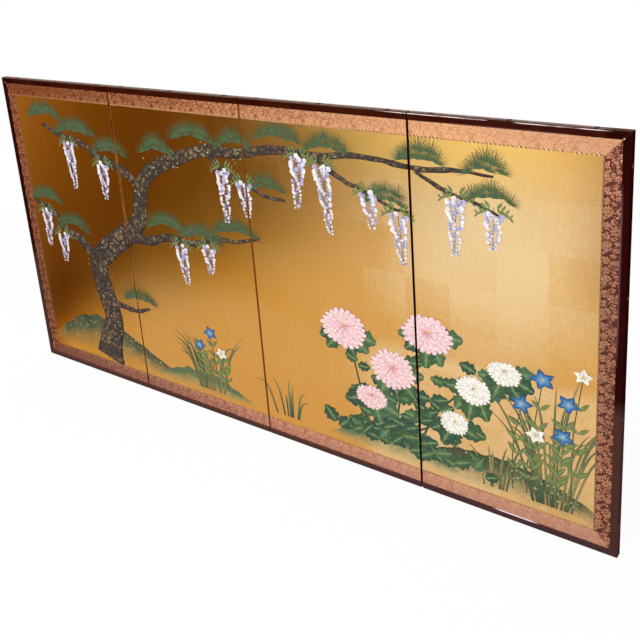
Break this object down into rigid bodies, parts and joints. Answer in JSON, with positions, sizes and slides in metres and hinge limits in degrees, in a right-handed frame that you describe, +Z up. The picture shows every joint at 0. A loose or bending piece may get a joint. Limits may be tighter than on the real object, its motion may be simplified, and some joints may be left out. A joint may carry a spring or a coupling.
{
  "type": "folding screen",
  "caption": "Low folding screen: hinged gold-ground panels on lattice cores with a brocade border and lacquered frame, folding accordion-wise on paper hinges.",
  "frame": {"origin": "middle of the bottom edge of the opened screen, at mid depth", "axes": "+X along the opened screen to the right as the picture is seen, +Y away from the picture, +Z up"},
  "size_m": [1.8288, 0.019, 0.9144],
  "materials": {
    "lacquered_wood": "polished dark red-brown lacquer",
    "frame_nail": "black lacquered iron",
    "core_wood": "planed bare softwood",
    "lining_paper": "matt",
    "back_paper": "matt, block printed",
    "gold_silk": "gold leaf squares on silk, satin",
    "brocade": "woven silk, scrolling vines",
    "woven_edging": "narrow checked ribbon",
    "hinge_paper_gold": "matt",
    "hinge_paper_dark": "matt"
  },
  "bodies": {
    "panel_1": {"top_rail_1": "lacquered_wood", "bottom_rail_1": "lacquered_wood", "left_stile": "lacquered_wood", "frame_nails_1": "frame_nail", "core_frame_1": "core_wood", "core_lattice_1": "core_wood", "front_paper_1": "lining_paper", "back_paper_1": "back_paper", "picture_1": "gold_silk", "brocade_top_1": "brocade", "brocade_bottom_1": "brocade", "brocade_left": "brocade", "edging_1": "woven_edging", "hinge_papers_1_right": "hinge_paper_gold"},
    "panel_2": {"top_rail_2": "lacquered_wood", "bottom_rail_2": "lacquered_wood", "frame_nails_2": "frame_nail", "core_frame_2": "core_wood", "core_lattice_2": "core_wood", "front_paper_2": "lining_paper", "back_paper_2": "back_paper", "picture_2": "gold_silk", "brocade_top_2": "brocade", "brocade_bottom_2": "brocade", "edging_2": "woven_edging", "hinge_papers_2_left": "hinge_paper_gold", "hinge_papers_2_right": "hinge_paper_dark"},
    "panel_3": {"top_rail_3": "lacquered_wood", "bottom_rail_3": "lacquered_wood", "frame_nails_3": "frame_nail", "core_frame_3": "core_wood", "core_lattice_3": "core_wood", "front_paper_3": "lining_paper", "back_paper_3": "back_paper", "picture_3": "gold_silk", "brocade_top_3": "brocade", "brocade_bottom_3": "brocade", "edging_3": "woven_edging", "hinge_papers_3_left": "hinge_paper_dark", "hinge_papers_3_right": "hinge_paper_dark"},
    "panel_4": {"top_rail_4": "lacquered_wood", "bottom_rail_4": "lacquered_wood", "right_stile": "lacquered_wood", "frame_nails_4": "frame_nail", "core_frame_4": "core_wood", "core_lattice_4": "core_wood", "front_paper_4": "lining_paper", "back_paper_4": "back_paper", "picture_4": "gold_silk", "brocade_top_4": "brocade", "brocade_bottom_4": "brocade", "brocade_right": "brocade", "edging_4": "woven_edging", "hinge_papers_4_left": "hinge_paper_dark"}
  },
  "joints": [
    {"name": "fold_1_2", "type": "hinge", "parent": "panel_2", "child": "panel_1", "pos_m": [-0.4578, 0.0099, 0], "axis": [0, 0, -1], "range_deg": [0, 180]},
    {"name": "fold_2_3", "type": "hinge", "parent": "panel_2", "child": "panel_3", "pos_m": [0, -0.0099, 0], "axis": [0, 0, -1], "range_deg": [0, 180]},
    {"name": "fold_3_4", "type": "hinge", "parent": "panel_3", "child": "panel_4", "pos_m": [0.4578, 0.0099, 0], "axis": [0, 0, 1], "range_deg": [0, 180]}
  ]
}
